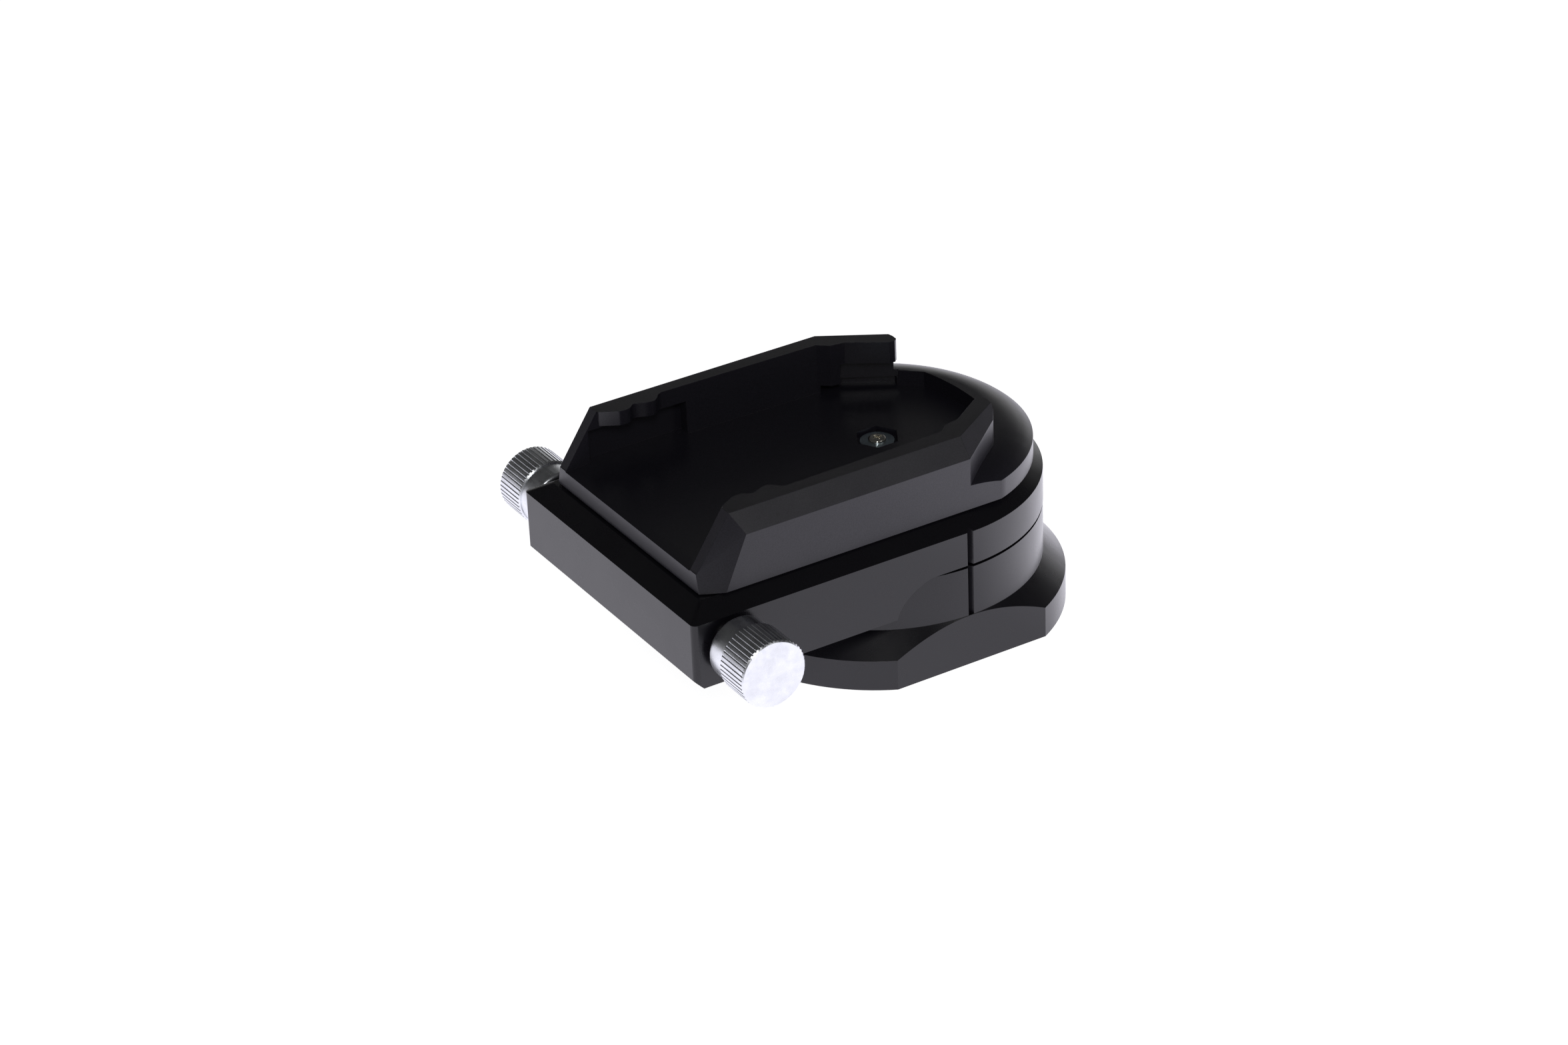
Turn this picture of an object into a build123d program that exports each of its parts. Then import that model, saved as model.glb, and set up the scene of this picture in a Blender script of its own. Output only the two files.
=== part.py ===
from build123d import *
import math
import os

# Azimuth head with a fine drive and an instrument cradle.
# Millimetres, +Z up. The origin is where the azimuth axis meets the underside
# of the base; -X points to the drive knobs, -Y is the side with the index notch.

os.makedirs("parts", exist_ok=True)

# ---- driving dimensions -------------------------------------------------------

BODY_HALF_WIDTH = 42.0        # arm sides and base flats share these two planes

# base
FOOT_R = 47.6
FOOT_RIM_H = 8.4
HUB_R = 41.9
HUB_TOP = 27.7
SPIGOT_R = 9.0
SPIGOT_TOP = 34.0
THREAD_R = 3.275              # plain bore standing for a 1/4-20 tripod thread
INSERT_R = 6.5
INSERT_H = 10.0

# arm
ARM_REAR_X = -80.0
ARM_BOTTOM = 20.0
ARM_WEB_BOTTOM = 28.5
ARM_WALL_TOP = 37.8
ARM_TOP = 41.0
ARM_BEVEL_IN = 5.4
ARM_CORNER_R = 1.6
RECESS_PROFILE = ((47.4, ARM_BOTTOM), (46.2, 24.4), (43.6, ARM_WEB_BOTTOM))
NOTCH_WIDTH = 1.8             # index notch, a V in plan
NOTCH_DEPTH = 1.5

# azimuth bearing, bottom to top
BUSH_R = 12.0
BEARING_TOP = 33.0
COUNTERBORE_R = 17.0
CAP_RECESS_R = 24.0
CAP_BOTTOM = 38.8
RUNNING = 0.05                # radial running clearance

# cradle pivot
PIVOT_BOSS_R = 3.4
PIVOT_BOSS_TOP = 44.7
PIVOT_WASHER_R = 4.5
PIVOT_WASHER_T = 0.8
PIVOT_HEAD_R = 2.35
PIVOT_HEAD_H = 0.85
PIVOT_SHANK_R = 1.5
HEX_CORNER_R = 5.9

# fine drive: a spindle across the rear of the arm moves a nut along Y
DRIVE_X = -68.8
DRIVE_Z = 29.8
SPINDLE_R = 2.5
SPINDLE_THREAD_R = 3.0
SPINDLE_THREAD_HALF = 14.0
SPINDLE_HALF = 58.4
NUT_X = 8.6
NUT_Y = 12.0
NUT_BOTTOM = 24.4
NUT_TOP = 38.6
POCKET_HALF_Y = 14.1
POCKET_BOTTOM = 23.2
PIN_R = 2.0
PIN_BOTTOM = 34.4
PIN_TOP = 44.0
SIDE_BUSH_R = 5.5
FLANGE_R = 6.6
FLANGE_END = 43.3
KNOB_START = 43.6
KNURL_START = 49.8
KNOB_END = 60.2
COLLAR_R = 8.4
KNURL_R = 9.0
KNURL_COUNT = 48
KNURL_CUT_R = 0.3

# cradle
PLATE_BOTTOM = 41.3
FLOOR_Z = 46.4
PLATE_REAR_X = -73.7
PLATE_REAR_Z = 46.1
SIDE_Y = 37.6
ROUND_R = 39.6
WALL_BEVEL_Z = 55.4
WALL_TOP = 60.3
WALL_BEVEL_IN = 3.8
DOME_TOP = 50.6
DOME_FLAT_R = 29.5
DOME_SHOULDER = (34.8, 49.5)  # radius and height half way down the rounded edge
DOME_EDGE_Z = 46.7

# ---- shape helpers --------------------------------------------------------------


def rod(radius, z0, z1, x=0.0, y=0.0):
    """Upright cylinder from z0 to z1."""
    return Pos(x, y, (z0 + z1) / 2) * Cylinder(radius, z1 - z0)


def rod_y(radius, y0, y1, x=DRIVE_X, z=DRIVE_Z):
    """Cylinder along Y, by default on the spindle's axis."""
    return Pos(x, (y0 + y1) / 2, z) * Rot(X=90) * Cylinder(radius, abs(y1 - y0))


def ring(inner, outer, z0, z1):
    return rod(outer, z0, z1) - rod(inner, z0 - 1, z1 + 1)


def block(x0, x1, y0, y1, z0, z1):
    centre = ((x0 + x1) / 2, (y0 + y1) / 2, (z0 + z1) / 2)
    return Pos(*centre) * Box(abs(x1 - x0), abs(y1 - y0), abs(z1 - z0))


def prism(points, z0, z1):
    """Upright prism over a closed polygon in plan."""
    face = make_face(Polyline(*points, close=True))
    return Pos(0, 0, z0) * extrude(face, z1 - z0)


def turned(points):
    """Solid of revolution about Z from a closed outline of (radius, height)."""
    outline = Polyline(*[(r, 0, z) for r, z in points], close=True)
    return revolve(make_face(outline), Axis.Z)


def mirrored(shape):
    """The same shape on the other side of the XZ plane."""
    return mirror(shape, about=Plane.XZ)


def both_sides(shape):
    return shape + mirrored(shape)


def beyond(p0, p1, p2, keep_side, size=300.0):
    """Half-space on the far side of the plane through three points."""
    a, b, c = Vector(*p0), Vector(*p1), Vector(*p2)
    normal = (b - a).cross(c - a).normalized()
    if (Vector(*keep_side) - a).dot(normal) > 0:
        normal = normal * -1
    plane = Plane(origin=a, z_dir=normal)
    return plane * Pos(0, 0, size / 2) * Box(size, size, size)


def notch(z0, z1):
    """V-shaped index notch in the near side of the base and the arm."""
    half = NOTCH_WIDTH / 2 * (NOTCH_DEPTH + 1) / NOTCH_DEPTH
    outer_y = -BODY_HALF_WIDTH - 1
    return prism([(-half, outer_y), (half, outer_y), (0, -BODY_HALF_WIDTH + NOTCH_DEPTH)], z0, z1)


def on_circle(count, radius, start=0.0):
    """Points evenly spaced on a circle round the azimuth axis."""
    step = 360.0 / count
    angles = [math.radians(start + i * step) for i in range(count)]
    return [(radius * math.cos(a), radius * math.sin(a)) for a in angles]


def countersunk(x, y, top, head_r, shank_r, length):
    """Countersunk screw, head flush with the top plane."""
    cone_h = head_r - shank_r
    head = Pos(x, y, top - cone_h / 2) * Cone(shank_r, head_r, cone_h)
    shank = rod(shank_r, top - length, top - cone_h / 2, x, y)
    socket = rod(shank_r * 0.6, top - cone_h * 0.7, top + 1, x, y)
    return head + shank - socket


def countersink_hole(x, y, top, head_r, shank_r, length):
    """Hole that a countersunk screw of the same sizes sits in."""
    cone_h = head_r - shank_r
    head = Pos(x, y, top - cone_h / 2) * Cone(shank_r, head_r, cone_h)
    return head + rod(shank_r, top - length, top, x, y)


# ---- base ---------------------------------------------------------------------

CONE_H = FOOT_R - HUB_R
SCREW_M6_R = 3.0
LOCK_SCREW_R = 1.5


def make_base():
    outline = [
        (0, 0), (FOOT_R, 0), (FOOT_R, FOOT_RIM_H), (HUB_R, FOOT_RIM_H + CONE_H),
        (HUB_R, HUB_TOP), (SPIGOT_R, HUB_TOP), (SPIGOT_R, SPIGOT_TOP), (0, SPIGOT_TOP),
    ]
    body = turned(outline)
    body &= block(-60, 60, -BODY_HALF_WIDTH, BODY_HALF_WIDTH, -1, 60)
    body -= notch(FOOT_RIM_H + CONE_H, HUB_TOP + 1)
    body -= rod(INSERT_R, -1, INSERT_H)
    body -= rod(SCREW_M6_R, INSERT_H + 4, SPIGOT_TOP + 1)
    body -= rod_y(LOCK_SCREW_R, INSERT_R - 1, 30, x=0, z=INSERT_H / 2)
    body -= rod_y(LOCK_SCREW_R + 1.0, 30, 60, x=0, z=INSERT_H / 2)
    # a shallow relief leaves a seat ring and a centre boss to bear on the tripod
    body -= ring(16, 38, -1, 1.0)
    return body


def make_tripod_insert():
    body = rod(INSERT_R, 0, INSERT_H) - rod(THREAD_R, -1, INSERT_H + 1)
    groove = rod(INSERT_R + 1, 4, 6) - rod(INSERT_R - 0.6, 3, 7)
    return body - groove


def make_insert_screw():
    """Grub screw that keys the insert, reached through the far flat."""
    body = rod_y(LOCK_SCREW_R - 0.05, INSERT_R, 28, x=0, z=INSERT_H / 2)
    socket = rod_y(0.8, 26, 29, x=0, z=INSERT_H / 2)
    return body - socket


def make_retaining_screw():
    head_z = SPIGOT_TOP + 2.0
    head = rod(5.2, head_z, head_z + 2.6)
    shank = rod(SCREW_M6_R - 0.02, head_z + 2.0 - 18, head_z + 0.1)
    socket = extrude(Pos(0, 0, head_z + 1.0) * RegularPolygon(2.3, 6), 3)
    return head + shank - socket


# ---- arm ----------------------------------------------------------------------

CAP_SCREWS = on_circle(3, 20.5, start=30)
COVER_SCREWS = [(-71.2, -17.4), (-71.2, 17.4), (-64.6, -17.4), (-64.6, 17.4)]
GLIDES = [(-40, -26), (-40, 26), (22, -20), (22, 20)]
COVER_T = 1.2
COVER_EDGE = ((-73.4, -62.2), (-20.0, 20.0))
GLIDE_R = 3.5
GLIDE_DEPTH = 0.9


def arm_outline(half_width, rear_x, corner_r):
    """Plan of the arm: a rectangle ending in a half circle about the azimuth axis."""
    h = half_width
    sides = Polyline((0, h), (rear_x, h), (rear_x, -h), (0, -h))
    nose = ThreePointArc((0, -h), (h, 0), (0, h))
    face = make_face([sides, nose])
    corners = [v for v in face.vertices() if v.X < rear_x + 1]
    return fillet(corners, corner_r)


def arm_recess():
    """Round recess under the arm that clears the hub at every azimuth."""
    low, mid, high = RECESS_PROFILE
    wall = ThreePointArc((low[0], 0, low[1]), (mid[0], 0, mid[1]), (high[0], 0, high[1]))
    rest = Polyline((high[0], 0, high[1]), (0, 0, high[1]), (0, 0, low[1] - 1),
                    (low[0], 0, low[1] - 1), (low[0], 0, low[1]))
    return revolve(make_face([wall, rest]), Axis.Z)


def drive_pocket():
    """Slot the nut runs in; its two long walls keep the nut from turning."""
    x0 = DRIVE_X - NUT_X / 2 - 0.08
    x1 = DRIVE_X + NUT_X / 2 + 0.08
    return block(x0, x1, -POCKET_HALF_Y, POCKET_HALF_Y, POCKET_BOTTOM, ARM_TOP + 1)


def make_arm():
    lower = arm_outline(BODY_HALF_WIDTH, ARM_REAR_X, ARM_CORNER_R)
    upper = arm_outline(BODY_HALF_WIDTH - ARM_BEVEL_IN, ARM_REAR_X + ARM_BEVEL_IN, 1.0)
    body = Pos(0, 0, ARM_BOTTOM) * extrude(lower, ARM_WALL_TOP - ARM_BOTTOM)
    body += loft([Pos(0, 0, ARM_WALL_TOP) * lower, Pos(0, 0, ARM_TOP) * upper], ruled=True)
    # chamfer along the bottom of the rear face
    wedge = [(ARM_REAR_X - 1, 0, ARM_BOTTOM - 1), (ARM_REAR_X + 3.2, 0, ARM_BOTTOM - 1),
             (ARM_REAR_X - 1, 0, ARM_BOTTOM + 3.2)]
    body -= Pos(0, 60, 0) * extrude(make_face(Polyline(*wedge, close=True)), 120, dir=(0, -1, 0))
    body -= arm_recess()
    body -= notch(ARM_BOTTOM, ARM_TOP + 1)
    # azimuth bearing and pivot cap seats
    body -= rod(BUSH_R, ARM_BOTTOM, ARM_TOP + 1)
    body -= rod(COUNTERBORE_R, BEARING_TOP, ARM_TOP + 1)
    body -= rod(CAP_RECESS_R, CAP_BOTTOM, ARM_TOP + 1)
    for x, y in CAP_SCREWS:
        body -= rod(1.5, CAP_BOTTOM - 5, ARM_TOP, x, y)
    # fine drive
    body -= drive_pocket()
    body -= rod_y(SIDE_BUSH_R, -60, 60)
    (cx0, cx1), (cy0, cy1) = COVER_EDGE
    body -= block(cx0, cx1, cy0, cy1, ARM_TOP - COVER_T, ARM_TOP + 1)
    for x, y in COVER_SCREWS:
        body -= rod(1.05, ARM_TOP - 5.2, ARM_TOP, x, y)
    for side in (-1, 1):
        body -= rod(1.5, ARM_BOTTOM - 1, DRIVE_Z, DRIVE_X, side * 30)
    for x, y in GLIDES:
        body -= rod(GLIDE_R, ARM_TOP - GLIDE_DEPTH, ARM_TOP + 1, x, y)
    return body


def make_pivot_cap():
    """Steel disc let into the arm; its boss is the cradle's pivot."""
    body = rod(CAP_RECESS_R - 0.05, CAP_BOTTOM, ARM_TOP) + rod(PIVOT_BOSS_R, ARM_TOP - 1, PIVOT_BOSS_TOP)
    body -= rod(PIVOT_SHANK_R, CAP_BOTTOM + 0.8, PIVOT_BOSS_TOP + 1)
    for x, y in CAP_SCREWS:
        body -= countersink_hole(x, y, ARM_TOP, 2.6, 1.5, 4)
    return body


def make_cap_screws():
    screws = [countersunk(x, y, ARM_TOP, 2.6, 1.48, 6.5) for x, y in CAP_SCREWS]
    return Compound(screws)


def make_slot_cover():
    """Cover over the nut's slot, with a slit for the drive pin."""
    (x0, x1), (y0, y1) = COVER_EDGE
    body = block(x0 + 0.1, x1 - 0.1, y0 + 0.1, y1 - 0.1, ARM_TOP - COVER_T, ARM_TOP)
    slit = SlotOverall(14.0, 2 * PIN_R + 0.6, rotation=90)
    body -= Pos(DRIVE_X, 0, ARM_TOP - 3) * extrude(slit, 6)
    for x, y in COVER_SCREWS:
        body -= countersink_hole(x, y, ARM_TOP, 1.9, 1.05, 4)
    return body


def make_cover_screws():
    screws = [countersunk(x, y, ARM_TOP, 1.9, 1.02, 4.8) for x, y in COVER_SCREWS]
    return Compound(screws)


def make_glides():
    discs = [rod(GLIDE_R - 0.03, ARM_TOP - GLIDE_DEPTH, PLATE_BOTTOM, x, y) for x, y in GLIDES]
    return Compound(discs)


def make_side_bush(side):
    """Flanged bearing bush for one end of the spindle."""
    inner, face, end = side * (POCKET_HALF_Y + 0.05), side * BODY_HALF_WIDTH, side * FLANGE_END
    body = rod_y(SIDE_BUSH_R, inner, face) + rod_y(FLANGE_R, face, end)
    body -= rod_y(SPINDLE_R + RUNNING, side * 10, side * 50)
    return body - rod(1.5, ARM_BOTTOM, DRIVE_Z - 4.4, DRIVE_X, side * 30)


def make_bush_screws():
    """Grub screws from below that hold the two bushes."""
    screws = []
    for side in (-1, 1):
        body = rod(1.45, ARM_BOTTOM + 0.8, DRIVE_Z - 4.5, DRIVE_X, side * 30)
        screws.append(body - rod(0.8, ARM_BOTTOM, ARM_BOTTOM + 2.4, DRIVE_X, side * 30))
    return Compound(screws)


def make_pivot_screw():
    """Domed cross-head screw that keeps the cradle on its pivot."""
    seat = PIVOT_BOSS_TOP + PIVOT_WASHER_T
    head = rod(PIVOT_HEAD_R, seat, seat + PIVOT_HEAD_H)
    head = fillet(head.edges().sort_by(Axis.Z)[-1], 0.6)
    shank = rod(PIVOT_SHANK_R - 0.03, CAP_BOTTOM + 1.2, seat + 0.1)
    cross = Box(2.4, 0.5, 1.2) + Box(0.5, 2.4, 1.2)
    return head + shank - Pos(0, 0, seat + PIVOT_HEAD_H) * cross


# ---- spindle and knobs ----------------------------------------------------------

SET_SCREW_ANGLE = 225.0       # round the spindle, pointing down and to the rear


def make_spindle():
    body = rod_y(SPINDLE_R, -SPINDLE_HALF, SPINDLE_HALF)
    return body + rod_y(SPINDLE_THREAD_R, -SPINDLE_THREAD_HALF, SPINDLE_THREAD_HALF)


def set_screw_hole(side, radius, r0, r1):
    """Radial cylinder in the collar of one knob."""
    mid_y = side * (KNOB_START + KNURL_START) / 2
    spot = Location((DRIVE_X, mid_y, DRIVE_Z)) * Rot(Y=SET_SCREW_ANGLE)
    return spot * Pos(0, 0, (r0 + r1) / 2) * Cylinder(radius, r1 - r0)


def make_knob(side):
    """Straight-knurled knob with a plain collar, bored from the inner end."""
    collar = rod_y(COLLAR_R, side * KNOB_START, side * (KNURL_START + 0.5))
    collar = fillet(collar.edges().sort_by(Axis.Y)[0 if side > 0 else -1], 1.0)
    grip = rod_y(KNURL_R, side * KNURL_START, side * KNOB_END)
    grip = chamfer(grip.edges().filter_by(GeomType.CIRCLE), 0.45)
    flutes = []
    for i in range(KNURL_COUNT):
        a = 2 * math.pi * i / KNURL_COUNT
        x = DRIVE_X + (KNURL_R + 0.08) * math.cos(a)
        z = DRIVE_Z + (KNURL_R + 0.08) * math.sin(a)
        flutes.append(rod_y(KNURL_CUT_R, side * (KNURL_START - 1), side * (KNOB_END + 1), x, z))
    body = grip - flutes + collar
    body -= rod_y(SPINDLE_R, side * 40, side * SPINDLE_HALF)
    return body - set_screw_hole(side, 1.25, 0, COLLAR_R + 2)


def make_knob_screws():
    screws = [set_screw_hole(side, 1.2, SPINDLE_R + 0.02, COLLAR_R - 0.6) for side in (-1, 1)]
    return Compound(screws)


def make_spindle_washers():
    """Thin washers between each bush flange and knob collar."""
    washers = []
    for side in (-1, 1):
        body = rod_y(5.6, side * FLANGE_END, side * KNOB_START)
        washers.append(body - rod_y(SPINDLE_R + 0.02, side * 40, side * 50))
    return Compound(washers)


def make_drive_nut():
    x0, x1 = DRIVE_X - NUT_X / 2, DRIVE_X + NUT_X / 2
    body = block(x0, x1, -NUT_Y / 2, NUT_Y / 2, NUT_BOTTOM, NUT_TOP)
    body = chamfer(body.edges().filter_by(Axis.Z), 0.6)
    body -= rod_y(SPINDLE_THREAD_R + RUNNING, -20, 20)
    return body - rod(PIN_R, PIN_BOTTOM, NUT_TOP + 1, DRIVE_X, 0)


# ---- cradle -------------------------------------------------------------------

# rear end of the near side wall: outer facets, and a slope up to the crest
END_FOOT = (PLATE_REAR_X, -34.6, PLATE_BOTTOM)
END_LEDGE = (PLATE_REAR_X, -33.7, PLATE_REAR_Z)
END_INNER = (PLATE_REAR_X, -29.6, PLATE_REAR_Z)
END_CREST = (-63.9, -SIDE_Y + WALL_BEVEL_IN, WALL_TOP)
END_BOX = (-90.0, -50.0, -45.0, -20.0)      # x and y limits of the slope's cut
END_SIDE_FOOT = (-67.8, -SIDE_Y, PLATE_BOTTOM)
END_SIDE_TOP = (-61.5, -SIDE_Y, WALL_BEVEL_Z)

# plan of the turned-in front end of the near wall, and its inner face
TURN_START = (3.3, -SIDE_Y)
TURN_END = (17.4, -27.0)
TURN_CREST = ((3.1, -33.8), (18.6, -23.9))
TIP = ((18.9, -24.9), (19.5, -22.0), (19.4, -20.2), (18.4, -19.3), (16.9, -19.5))
INNER_TURN = (7.3, -26.1)
INNER_STEP = ((3.3, -26.7), (0.6, -29.2))
INNER_REAR_Y = -30.6
FRONT_INSIDE = (25.1, 16.2)
FRONT_CORNER = (19.5, 21.3)
FRONT_BOW_X = 27.3

WINDOW_X = (-66.6, -38.2)
WINDOW_TOP = 55.6
WINDOW_DEPTH = 3.4
# plan of the two snap ribs on the near wall, a wave that runs into its inner face
RIB_BOTTOM = 56.3
RIB_REAR = ((-63.5, -31.0), (-63.5, -30.0))
RIB_WAVE = (
    (-59.2, -27.4), (-57.2, -27.1), (-55.7, -27.5), (-54.3, -28.6), (-52.6, -28.2),
    (-50.6, -27.3), (-48.8, -27.2), (-47.5, -28.2), (-46.4, -29.5),
)
RIB_FRONT = ((-45.4, -30.0), (-45.4, -31.0))
LIP_BOTTOM = 54.2
SLOT_TOP = 48.6
KEEP = (-20.0, 0.0, 44.0)     # a point inside every cut that trims the walls
FORK_X = (DRIVE_X - 3.4, DRIVE_X + 6.6)
FORK_HALF_Y = 8.0
FORK_Z = (PLATE_BOTTOM, 44.1)
FORK_SCREWS = [(DRIVE_X + 4.4, -5.4), (DRIVE_X + 4.4, 5.4)]


def plate_outline():
    tangent_x = math.sqrt(ROUND_R ** 2 - SIDE_Y ** 2)
    side = Polyline(
        (tangent_x, SIDE_Y), (END_SIDE_FOOT[0], SIDE_Y), (PLATE_REAR_X, -END_FOOT[1]),
        (PLATE_REAR_X, END_FOOT[1]), (END_SIDE_FOOT[0], -SIDE_Y), (tangent_x, -SIDE_Y),
    )
    nose = ThreePointArc((tangent_x, -SIDE_Y), (ROUND_R, 0), (tangent_x, SIDE_Y))
    return make_face([side, nose])


def inner_y(x):
    """Inner face of the near wall, which opens slightly to the rear."""
    x1, y1 = INNER_STEP[1]
    return y1 + (INNER_REAR_Y - y1) * (x - x1) / (PLATE_REAR_X - x1)


def undercut():
    """Hollow below the near wall's turned-in lip, deepest along the floor."""
    upper = [(7.2, -29.5), (20.5, -21.3), (18.0, -16.0), (4.5, -23.0)]
    lower = [(1.2, -31.4), (7.6, -31.2), (20.5, -23.0), (18.0, -16.0), (1.2, -25.5)]
    return prism(upper, SLOT_TOP, LIP_BOTTOM) + prism(lower, FLOOR_Z, SLOT_TOP)


def corner_trim():
    """What the outer facets cut off at the near wall's rear end."""
    facets = beyond(END_FOOT, END_SIDE_FOOT, END_SIDE_TOP, KEEP)
    return facets + beyond(END_LEDGE, END_SIDE_TOP, END_CREST, KEEP)


def snap_ribs():
    """Two smooth ribs along the top of the near wall, over its window."""
    edge = [Polyline(*RIB_REAR, RIB_WAVE[0]), Spline(*RIB_WAVE), Polyline(RIB_WAVE[-1], *RIB_FRONT)]
    face = make_face(edge + [Line(RIB_FRONT[-1], RIB_REAR[0])])
    return Pos(0, 0, RIB_BOTTOM) * extrude(face, WALL_TOP - RIB_BOTTOM)


def near_wall():
    """Near side wall: vertical, bevelled outside, turned in at the front."""
    plan = [
        (PLATE_REAR_X, -SIDE_Y), TURN_START, TURN_END, *TIP, INNER_TURN, *INNER_STEP,
        (PLATE_REAR_X, INNER_REAR_Y),
    ]
    wall = prism(plan, PLATE_BOTTOM, WALL_TOP)
    # bevels along the side and along the turned-in front
    wall -= beyond((0, -SIDE_Y, WALL_BEVEL_Z), (-50, -SIDE_Y, WALL_BEVEL_Z),
                   (0, -SIDE_Y + WALL_BEVEL_IN, WALL_TOP), KEEP)
    crest_start, crest_end = TURN_CREST
    wall -= beyond((*TURN_START, WALL_BEVEL_Z), (*crest_start, WALL_TOP), (*crest_end, WALL_TOP), KEEP)
    # snap window
    x0, x1 = WINDOW_X
    depth_y = inner_y(x1) - WINDOW_DEPTH
    wall -= block(x0, x1, depth_y, 0, FLOOR_Z, WINDOW_TOP)
    wall += snap_ribs()
    # slope of the rear end
    wall -= beyond(END_LEDGE, END_INNER, END_CREST, KEEP) & block(*END_BOX, FLOOR_Z, 80)
    return wall - undercut()


def front_rim():
    """Raised round end whose top rounds off to the edge."""
    edge_r = ROUND_R - 0.3
    top = ThreePointArc((edge_r, 0, DOME_EDGE_Z), (DOME_SHOULDER[0], 0, DOME_SHOULDER[1]),
                        (DOME_FLAT_R, 0, DOME_TOP))
    rest = Polyline((DOME_FLAT_R, 0, DOME_TOP), (0, 0, DOME_TOP), (0, 0, PLATE_BOTTOM),
                    (ROUND_R, 0, PLATE_BOTTOM), (ROUND_R, 0, DOME_EDGE_Z - 0.3), (edge_r, 0, DOME_EDGE_Z))
    body = revolve(make_face([top, rest]), Axis.Z)
    x0, y0 = TURN_START
    plan = [(x0, y0), (x0, -60), (60, -60), (60, 60), (x0, 60), (x0, -y0), (13, 28), (13, -28)]
    body &= prism(plan, 0, 80)
    body &= block(-60, 60, -SIDE_Y, SIDE_Y, 0, 80)
    body -= both_sides(undercut())
    fx, fy = FRONT_INSIDE
    cx, cy = FRONT_CORNER
    bow = ThreePointArc((fx, fy), (FRONT_BOW_X, 0), (fx, -fy))
    sides = Polyline((fx, -fy), (cx, -cy), (-10, -cy), (-10, cy), (cx, cy), (fx, fy))
    return body - Pos(0, 0, FLOOR_Z) * extrude(make_face([bow, sides]), 30)


def make_cradle():
    body = Pos(0, 0, PLATE_BOTTOM) * extrude(plate_outline(), FLOOR_Z - PLATE_BOTTOM)
    # the floor falls slightly over the last stretch to the rear edge
    body -= beyond((PLATE_REAR_X, 0, PLATE_REAR_Z), (PLATE_REAR_X, 10, PLATE_REAR_Z),
                   (PLATE_REAR_X + 3.6, 0, FLOOR_Z), KEEP)
    body += both_sides(near_wall())
    body -= both_sides(corner_trim())
    body += front_rim()
    # pivot: hexagonal pocket over a thin web
    pocket = RegularPolygon(HEX_CORNER_R, 6)
    body -= Pos(0, 0, PIVOT_BOSS_TOP - 0.1) * extrude(pocket, 10)
    body -= rod(PIVOT_BOSS_R + RUNNING, PLATE_BOTTOM - 1, FLOOR_Z + 1)
    # seat for the fork plate that the drive pin works in
    (fx0, fx1), (fz0, fz1) = FORK_X, FORK_Z
    body -= block(fx0, fx1, -FORK_HALF_Y, FORK_HALF_Y, fz0 - 1, fz1)
    body -= block(DRIVE_X - 3.2, DRIVE_X + 3.2, -3, 3, fz0 - 1, fz1 + 0.6)
    for x, y in FORK_SCREWS:
        body -= rod(1.0, fz0, fz1 + 1.4, x, y)
    return body


def make_fork_plate():
    (x0, x1), (z0, z1) = FORK_X, FORK_Z
    body = block(x0 + 0.05, x1 - 0.05, -FORK_HALF_Y + 0.05, FORK_HALF_Y - 0.05, z0 + 0.3, z1)
    slot = SlotOverall(2 * PIN_R + 1.4, 2 * PIN_R + 0.06)
    body -= Pos(DRIVE_X, 0, z0 - 1) * extrude(slot, 6)
    for x, y in FORK_SCREWS:
        body -= rod(1.0, z0, z1 + 1, x, y) + rod(1.9, z0, z0 + 1.5, x, y)
    return body


def make_fork_screws():
    z0, z1 = FORK_Z
    screws = []
    for x, y in FORK_SCREWS:
        head = rod(1.85, z0 + 0.4, z0 + 1.5, x, y) - rod(0.7, z0, z0 + 1.0, x, y)
        screws.append(head + rod(0.97, z0 + 1.4, z1 + 1.2, x, y))
    return Compound(screws)


# ---- every piece, one file each -------------------------------------------------

PIECES = {
    "base": make_base(),
    "tripod_insert": make_tripod_insert(),
    "insert_screw": make_insert_screw(),
    "thrust_washer": ring(13.0, 26.0, HUB_TOP, ARM_WEB_BOTTOM),
    "retaining_washer": ring(SCREW_M6_R + 0.1, 14.0, SPIGOT_TOP, SPIGOT_TOP + 2.0),
    "retaining_screw": make_retaining_screw(),
    "arm": make_arm(),
    "azimuth_bush": ring(SPIGOT_R + RUNNING, BUSH_R, ARM_WEB_BOTTOM, BEARING_TOP),
    "wave_spring": ring(SPIGOT_R + 0.6, 13.6, BEARING_TOP, SPIGOT_TOP),
    "pivot_cap": make_pivot_cap(),
    "cap_screws": make_cap_screws(),
    "pivot_washer": ring(PIVOT_SHANK_R + 0.05, PIVOT_WASHER_R, PIVOT_BOSS_TOP,
                         PIVOT_BOSS_TOP + PIVOT_WASHER_T),
    "pivot_screw": make_pivot_screw(),
    "slot_cover": make_slot_cover(),
    "cover_screws": make_cover_screws(),
    "glides": make_glides(),
    "near_bush": make_side_bush(-1),
    "far_bush": make_side_bush(1),
    "bush_screws": make_bush_screws(),
    "spindle": make_spindle(),
    "near_knob": make_knob(-1),
    "far_knob": make_knob(1),
    "knob_screws": make_knob_screws(),
    "spindle_washers": make_spindle_washers(),
    "drive_nut": make_drive_nut(),
    "drive_pin": rod(PIN_R, PIN_BOTTOM, PIN_TOP, DRIVE_X, 0),
    "cradle": make_cradle(),
    "fork_plate": make_fork_plate(),
    "fork_screws": make_fork_screws(),
}

for name, shape in PIECES.items():
    export_step(shape, f"parts/{name}.step")
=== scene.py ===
import math

import bpy
from mathutils import Matrix, Vector

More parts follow.
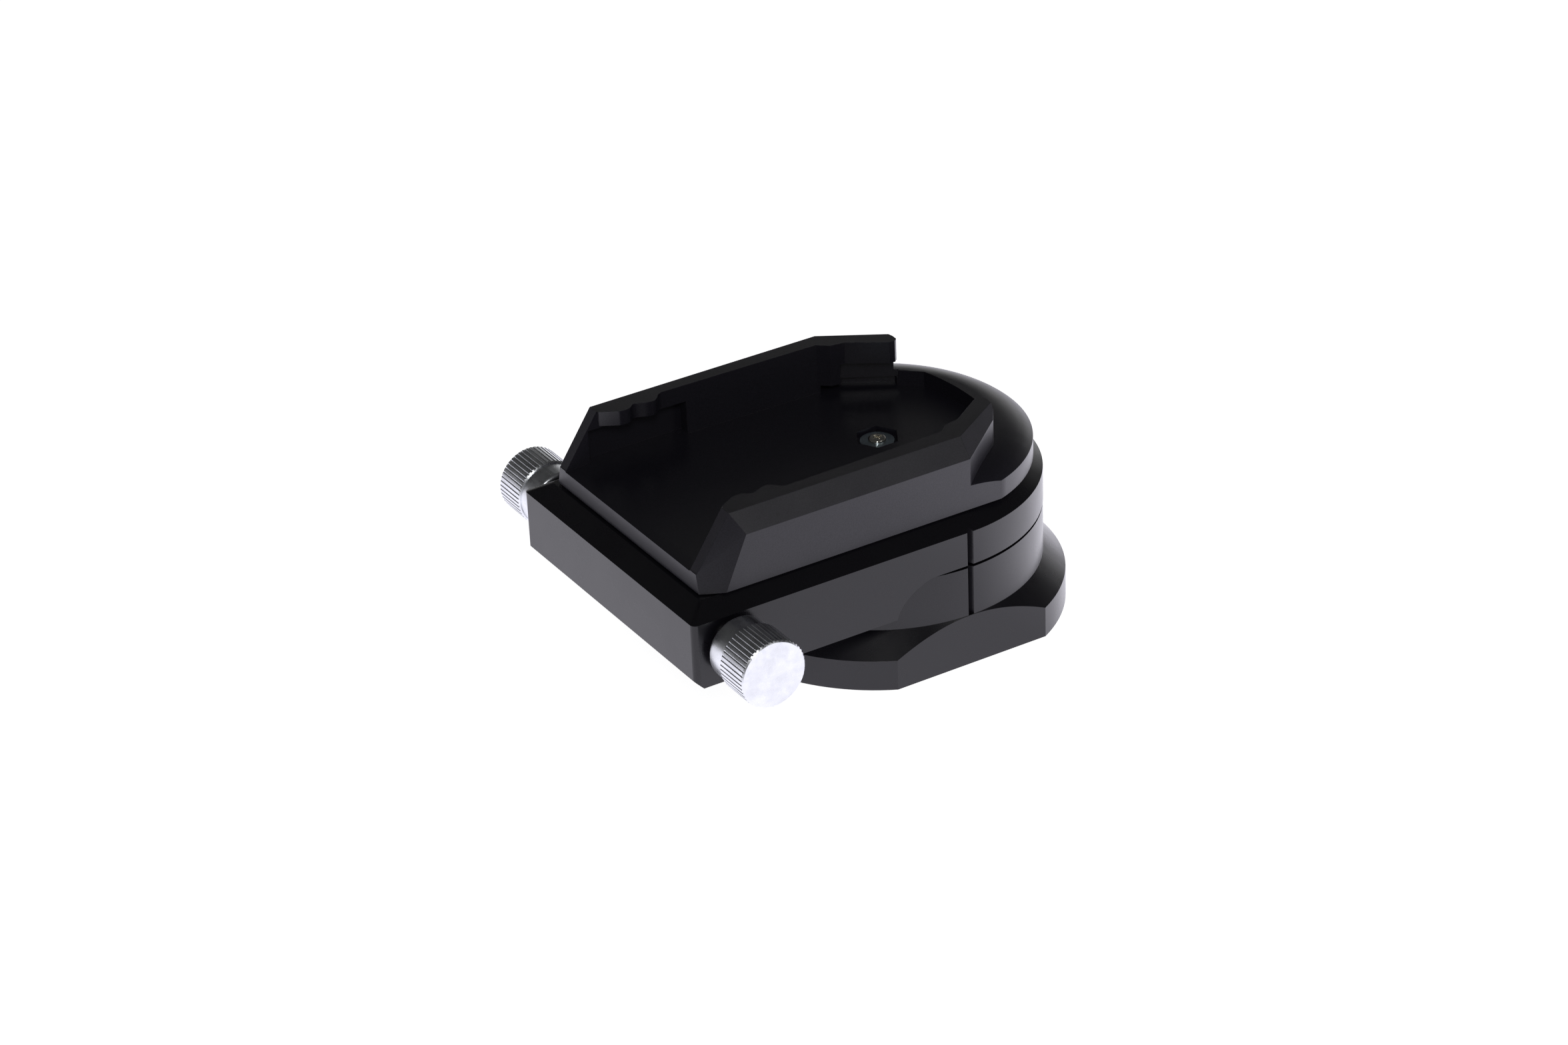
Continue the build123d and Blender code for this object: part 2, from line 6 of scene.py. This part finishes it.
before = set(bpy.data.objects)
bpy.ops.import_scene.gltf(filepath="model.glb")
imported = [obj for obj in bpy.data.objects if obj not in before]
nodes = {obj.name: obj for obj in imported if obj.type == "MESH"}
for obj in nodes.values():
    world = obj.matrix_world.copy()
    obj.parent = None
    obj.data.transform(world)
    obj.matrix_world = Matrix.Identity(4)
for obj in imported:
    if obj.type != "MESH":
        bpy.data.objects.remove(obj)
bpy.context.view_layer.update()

MM = 0.001

# ---- shader helpers -------------------------------------------------------------

# sockets of a colour Mix node, whose names repeat between its data types
MIX_FACTOR, MIX_A, MIX_B, MIX_RESULT = 0, 6, 7, 2


def new_material(name):
    """Empty material with its node tree and its Principled shader."""
    material = bpy.data.materials.new(name)
    material.use_nodes = True
    tree = material.node_tree
    shader = tree.nodes["Principled BSDF"]
    return material, tree, shader


def noise(tree, scale, detail=2.0, roughness=0.5, stretch=(1, 1, 1)):
    """Noise in object space; scale is in features per metre."""
    coords = tree.nodes.new("ShaderNodeTexCoord")
    mapping = tree.nodes.new("ShaderNodeMapping")
    mapping.inputs["Scale"].default_value = stretch
    texture = tree.nodes.new("ShaderNodeTexNoise")
    texture.inputs["Scale"].default_value = scale
    texture.inputs["Detail"].default_value = detail
    texture.inputs["Roughness"].default_value = roughness
    tree.links.new(coords.outputs["Object"], mapping.inputs["Vector"])
    tree.links.new(mapping.outputs["Vector"], texture.inputs["Vector"])
    return texture.outputs["Fac"]


def remap(tree, value, low, high, out_low, out_high):
    """Value moved from one range to another and held at its ends."""
    node = tree.nodes.new("ShaderNodeMapRange")
    node.inputs["From Min"].default_value = low
    node.inputs["From Max"].default_value = high
    node.inputs["To Min"].default_value = out_low
    node.inputs["To Max"].default_value = out_high
    tree.links.new(value, node.inputs["Value"])
    return node.outputs["Result"]


def combine(tree, operation, first, second):
    """Math node on a socket and a second socket or number."""
    node = tree.nodes.new("ShaderNodeMath")
    node.operation = operation
    tree.links.new(first, node.inputs[0])
    if isinstance(second, float):
        node.inputs[1].default_value = second
    else:
        tree.links.new(second, node.inputs[1])
    return node.outputs[0]


def axes_and_reach(tree, output, way):
    """Separate axes of a texture coordinate, and its reach along a direction in plan."""
    coords = tree.nodes.new("ShaderNodeTexCoord")
    split = tree.nodes.new("ShaderNodeSeparateXYZ")
    along = tree.nodes.new("ShaderNodeVectorMath")
    along.operation = "DOT_PRODUCT"
    along.inputs[1].default_value = way
    tree.links.new(coords.outputs[output], split.inputs["Vector"])
    tree.links.new(coords.outputs[output], along.inputs[0])
    return split.outputs, along.outputs["Value"]


def mix_colour(tree, factor, first, second):
    """Blend of two colours, each a plain RGB or a socket."""
    node = tree.nodes.new("ShaderNodeMix")
    node.data_type = "RGBA"
    for place, colour in ((MIX_A, first), (MIX_B, second)):
        if isinstance(colour, tuple):
            node.inputs[place].default_value = (*colour, 1)
        else:
            tree.links.new(colour, node.inputs[place])
    tree.links.new(factor, node.inputs[MIX_FACTOR])
    return node.outputs[MIX_RESULT]


def bump(tree, height, strength, depth_mm):
    """Surface normal from a height."""
    node = tree.nodes.new("ShaderNodeBump")
    node.inputs["Strength"].default_value = strength
    node.inputs["Distance"].default_value = depth_mm * MM
    tree.links.new(height, node.inputs["Height"])
    return node.outputs["Normal"]


def dimmed(colour, share):
    return tuple(c * share for c in colour)


# ---- kinds of finish --------------------------------------------------------------

GRAIN_BAND = (0.3, 0.7)        # where nearly all noise values lie
CLOUD_BAND = (0.35, 0.65)
HANDLING_SCALE = 55            # features per metre
MARKS_SCALE = 900
METAL_CLOUD_SCALE = 240
PLASTIC_CLOUD_SCALE = 400
METAL_DULL = 0.86              # darkest share of a metal's colour
PLASTIC_DULL = 0.9


def textured_black(name, dark, light, rough, grain_mm, grain_depth_mm):
    """Black anodised or moulded surface with a fine even grain and faint handling marks."""
    material, tree, shader = new_material(name)
    grain = noise(tree, 1000 / grain_mm, 2.0, 0.6)
    cloud = noise(tree, HANDLING_SCALE, 3.0, 0.6)
    tone = remap(tree, grain, *GRAIN_BAND, 0, 1)
    tree.links.new(mix_colour(tree, tone, dark, light), shader.inputs["Base Color"])
    spread = remap(tree, cloud, *GRAIN_BAND, rough - 0.03, rough + 0.04)
    tree.links.new(spread, shader.inputs["Roughness"])
    shader.inputs["Specular IOR Level"].default_value = 0.5
    tree.links.new(bump(tree, grain, 1.0, grain_depth_mm), shader.inputs["Normal"])
    return material


def machined_metal(name, colour, rough, line_stretch, line_depth_mm=0.004):
    """Turned or ground metal; the tool marks run along the unstretched axes."""
    material, tree, shader = new_material(name)
    marks = noise(tree, MARKS_SCALE, 3.0, 0.6, line_stretch)
    cloud = noise(tree, METAL_CLOUD_SCALE, 3.0, 0.6)
    tone = remap(tree, cloud, *CLOUD_BAND, 0, 1)
    tree.links.new(mix_colour(tree, tone, dimmed(colour, METAL_DULL), colour), shader.inputs["Base Color"])
    shader.inputs["Metallic"].default_value = 1.0
    spread = remap(tree, marks, *GRAIN_BAND, rough - 0.05, rough + 0.07)
    tree.links.new(spread, shader.inputs["Roughness"])
    tree.links.new(bump(tree, marks, 1.0, line_depth_mm), shader.inputs["Normal"])
    return material


def moulded_white(name, colour, rough):
    """Pale plastic with a slightly cloudy surface."""
    material, tree, shader = new_material(name)
    cloud = noise(tree, PLASTIC_CLOUD_SCALE, 3.0, 0.6)
    tone = remap(tree, cloud, *CLOUD_BAND, 0, 1)
    tree.links.new(mix_colour(tree, tone, dimmed(colour, PLASTIC_DULL), colour), shader.inputs["Base Color"])
    spread = remap(tree, cloud, *GRAIN_BAND, rough - 0.04, rough + 0.06)
    tree.links.new(spread, shader.inputs["Roughness"])
    tree.links.new(bump(tree, cloud, 0.4, 0.01), shader.inputs["Normal"])
    return material


# ---- materials ------------------------------------------------------------------

# blacks: darkest and lightest colour, roughness, grain size and depth in mm
ANODISED = textured_black("anodised_black", (0.0045, 0.0041, 0.006), (0.0085, 0.0077, 0.0112),
                          0.27, 0.3, 0.009)
MOULDED = textured_black("moulded_black", (0.0102, 0.0094, 0.0138), (0.0205, 0.0188, 0.0275),
                         0.3, 0.28, 0.016)
BUSHING = textured_black("turned_black", (0.006, 0.006, 0.007), (0.01, 0.01, 0.011), 0.28, 0.4, 0.003)
BLACKENED = textured_black("blackened_steel", (0.01, 0.01, 0.011), (0.02, 0.02, 0.022), 0.35, 0.3, 0.004)
ACETAL = textured_black("acetal_black", (0.008, 0.008, 0.008), (0.014, 0.014, 0.014), 0.4, 0.4, 0.003)
# metals: colour, roughness, stretch of the tool marks and, for nickel, their depth in mm
KNOB = machined_metal("knob_aluminium", (0.88, 0.9, 0.93), 0.29, (1.0, 0.12, 1.0))
STEEL = machined_metal("turned_steel", (0.62, 0.63, 0.65), 0.25, (1.0, 1.0, 0.15))
ZINC = machined_metal("zinc_plate", (0.46, 0.55, 0.62), 0.35, (1.0, 1.0, 1.0))
NICKEL = machined_metal("nickel_plate", (0.74, 0.72, 0.66), 0.16, (1.0, 1.0, 1.0), 0.002)
BRASS = machined_metal("brass", (0.72, 0.52, 0.22), 0.28, (1.0, 0.15, 1.0))
BRONZE = machined_metal("bronze", (0.5, 0.31, 0.16), 0.4, (1.0, 1.0, 1.0))
PTFE = moulded_white("low_friction_plastic", (0.8, 0.79, 0.75), 0.45)

FINISHES = {
    ANODISED: ["base", "arm", "slot_cover"],
    MOULDED: ["cradle"],
    BUSHING: ["near_bush", "far_bush"],
    BLACKENED: ["insert_screw", "retaining_screw", "cap_screws", "cover_screws", "bush_screws",
                "knob_screws", "fork_screws"],
    ACETAL: ["spindle_washers"],
    KNOB: ["near_knob", "far_knob"],
    STEEL: ["tripod_insert", "retaining_washer", "wave_spring", "pivot_cap", "spindle", "drive_pin"],
    ZINC: ["pivot_washer"],
    NICKEL: ["pivot_screw"],
    BRASS: ["drive_nut", "fork_plate"],
    BRONZE: ["azimuth_bush"],
    PTFE: ["thrust_washer", "glides"],
}
for material, names in FINISHES.items():
    for name in names:
        mesh = nodes[name].data
        mesh.materials.clear()
        mesh.materials.append(material)

# ---- softened edges on what shows -----------------------------------------------

EDGE_RADIUS = {"base": 0.16, "arm": 0.2, "cradle": 0.4, "near_knob": 0.06, "far_knob": 0.06,
               "near_bush": 0.15, "far_bush": 0.15, "pivot_washer": 0.1}     # mm
WELD_GAP = 1e-6                # metres
SAME_FACE_ANGLE = 0.5          # degrees
SHARP_EDGE_ANGLE = 24
EDGE_SEGMENTS = 3
FACE_WEIGHT = 60


def soften(node, radius_mm):
    """Round the sharp edges and keep the flat faces flat."""
    weld = node.modifiers.new("weld", "WELD")
    weld.merge_threshold = WELD_GAP
    flat = node.modifiers.new("flat_faces", "DECIMATE")
    flat.decimate_type = "DISSOLVE"
    flat.angle_limit = math.radians(SAME_FACE_ANGLE)
    edge = node.modifiers.new("edge_round", "BEVEL")
    edge.width = radius_mm * MM
    edge.segments = EDGE_SEGMENTS
    edge.limit_method = "ANGLE"
    edge.angle_limit = math.radians(SHARP_EDGE_ANGLE)
    edge.use_clamp_overlap = True
    edge.harden_normals = False
    shade = node.modifiers.new("face_normals", "WEIGHTED_NORMAL")
    shade.mode = "FACE_AREA"
    shade.weight = FACE_WEIGHT
    shade.keep_sharp = False


for name, radius in EDGE_RADIUS.items():
    soften(nodes[name], radius)

# ---- floor ----------------------------------------------------------------------

FLOOR_HALF = 4.0
FLOOR_DROP = 0.0003            # keeps the floor just clear of the foot
FLOOR_GREYS = ((0.82, 0.82, 0.82), (0.84, 0.84, 0.84))
FLOOR_GLOW = 0.98              # of what the part reflects
FLOOR_TINT = (0.985, 0.965, 1.07)
SEEN_GLOW = 0.94               # of the floor as it is seen itself
SEEN_TINT = (1, 1, 1)
RIGHT_GLOW = 0.6               # added close to the part on the +X side
RIGHT_RISE = (0.02, 0.06)      # metres along +X
RIGHT_FALL = (0.1, 0.15)
FRONT_WAY = (-0.5, -0.87, 0)   # plan direction in which the glow dies away
FRONT_FROM, FRONT_TO = 0.14, 0.34
FRONT_LEFT = 0.12              # share of the glow left beyond FRONT_TO


def floor_glow(tree):
    """Emission strength and colour of the floor: plain where it is seen itself, but what the part
    reflects of it is cooler, stronger close to the right side, and dies away well in front."""
    axes, reach = axes_and_reach(tree, "Object", FRONT_WAY)
    rise = remap(tree, axes["X"], *RIGHT_RISE, 0, RIGHT_GLOW)
    fall = remap(tree, axes["X"], *RIGHT_FALL, 1, 0)
    extra = combine(tree, "MULTIPLY", rise, fall)
    level = combine(tree, "ADD", extra, FLOOR_GLOW)
    fade = remap(tree, reach, FRONT_FROM, FRONT_TO, 1, FRONT_LEFT)
    reflected = combine(tree, "MULTIPLY", level, fade)
    seen = tree.nodes.new("ShaderNodeLightPath").outputs["Is Camera Ray"]
    strength = tree.nodes.new("ShaderNodeMix")
    tree.links.new(seen, strength.inputs["Factor"])
    tree.links.new(reflected, strength.inputs["A"])
    strength.inputs["B"].default_value = SEEN_GLOW
    return strength.outputs["Result"], mix_colour(tree, seen, FLOOR_TINT, SEEN_TINT)


def make_floor():
    mesh = bpy.data.meshes.new("floor")
    signs = ((-1, -1), (1, -1), (1, 1), (-1, 1))
    corners = [(x * FLOOR_HALF, y * FLOOR_HALF, -FLOOR_DROP) for x, y in signs]
    mesh.from_pydata(corners, [], [(0, 1, 2, 3)])
    floor = bpy.data.objects.new("floor", mesh)
    bpy.context.scene.collection.objects.link(floor)
    material, tree, shader = new_material("pale_floor")
    cloud = noise(tree, 3, 2.0, 0.5)
    tree.links.new(mix_colour(tree, cloud, *FLOOR_GREYS), shader.inputs["Base Color"])
    shader.inputs["Roughness"].default_value = 0.9
    shader.inputs["Specular IOR Level"].default_value = 0.1
    strength, tint = floor_glow(tree)
    tree.links.new(strength, shader.inputs["Emission Strength"])
    tree.links.new(tint, shader.inputs["Emission Color"])
    mesh.materials.append(material)


make_floor()

# ---- light ----------------------------------------------------------------------

# brightness of the soft studio dome against the sine of the height above the horizon
DOME_STOPS = ((0.0, 0.3), (0.04, 0.24), (0.12, 0.15), (0.3, 0.07), (0.5, 0.03), (0.75, 0.04), (1.0, 0.05))
# the same towards the backdrop, which is BACKDROP_WAY in plan
BACKDROP_STOPS = ((0.0, 1.0), (0.12, 0.95), (0.22, 0.5), (0.32, 0.12), (0.45, 0.035), (1.0, 0.05))
BACKDROP_WAY = (0.52, 0.855, 0)
BACKDROP_EDGE = (0.55, 0.85)   # reach along BACKDROP_WAY where the backdrop begins and is full
LIGHT_TARGET = (0, 0, 0.03)


def dome_ramp(tree, height, stops):
    """Grey ramp over the height, with one stop for each (height, brightness)."""
    ramp = tree.nodes.new("ShaderNodeValToRGB")
    elements = ramp.color_ramp.elements
    while len(elements) < len(stops):
        elements.new(0.5)
    for element, (place, level) in zip(elements, stops):
        element.position = place
        element.color = (level, level, level, 1)
    tree.links.new(height, ramp.inputs["Fac"])
    return ramp.outputs["Color"]


def make_world():
    """Soft dome: dark overhead, grey round the horizon, bright low at the backdrop."""
    world = bpy.data.worlds.new("studio")
    bpy.context.scene.world = world
    world.use_nodes = True
    tree = world.node_tree
    background = tree.nodes["Background"]
    axes, reach = axes_and_reach(tree, "Generated", BACKDROP_WAY)
    back = remap(tree, reach, *BACKDROP_EDGE, 0, 1)
    dome = dome_ramp(tree, axes["Z"], DOME_STOPS)
    backdrop = dome_ramp(tree, axes["Z"], BACKDROP_STOPS)
    tree.links.new(mix_colour(tree, back, dome, backdrop), background.inputs["Color"])
    background.inputs["Strength"].default_value = 1.0


def soft_light(name, place, size, power):
    """Rectangular softbox aimed at the part; metres and watts."""
    data = bpy.data.lights.new(name, "AREA")
    data.shape = "RECTANGLE"
    data.size, data.size_y = size
    data.energy = power
    light = bpy.data.objects.new(name, data)
    bpy.context.scene.collection.objects.link(light)
    light.location = place
    aim = Vector(LIGHT_TARGET) - Vector(place)
    light.rotation_mode = "QUATERNION"
    light.rotation_quaternion = aim.to_track_quat("-Z", "Y")


make_world()
soft_light("bevel_panel", (0.40, -0.80, 0.72), (0.45, 0.45), 0.55)
soft_light("key", (-0.6, -0.99, 0.96), (0.3, 0.3), 3.6)

# ---- camera ---------------------------------------------------------------------

VIEW_AZIMUTH = math.radians(-30.67)
VIEW_ELEVATION = math.radians(29.24)
VIEW_ROLL = math.radians(-2.46)
CAMERA_PLACE = (-0.5069, -0.8066, 0.5557)
SENSOR_WIDTH = 36.0            # mm
LENS = 97.57
CLIP = (0.01, 50)


def camera_axes(azimuth, elevation, roll):
    """Right, up and back directions of a camera that looks down its own -Z."""
    level = math.cos(elevation)
    back = Vector((math.sin(azimuth) * level, -math.cos(azimuth) * level, math.sin(elevation)))
    right = Vector((0, 0, 1)).cross(back).normalized()
    up = back.cross(right)
    c, s = math.cos(roll), math.sin(roll)
    return right * c + up * s, up * c - right * s, back


def make_camera():
    turn = Matrix(camera_axes(VIEW_AZIMUTH, VIEW_ELEVATION, VIEW_ROLL)).transposed()
    data = bpy.data.cameras.new("camera")
    data.sensor_width = SENSOR_WIDTH
    data.lens = LENS
    data.clip_start, data.clip_end = CLIP
    camera = bpy.data.objects.new("camera", data)
    bpy.context.scene.collection.objects.link(camera)
    camera.matrix_world = Matrix.Translation(CAMERA_PLACE) @ turn.to_4x4()
    bpy.context.scene.camera = camera


make_camera()
bpy.context.scene.view_settings.view_transform = "Standard"
bpy.context.scene.view_settings.look = "None"
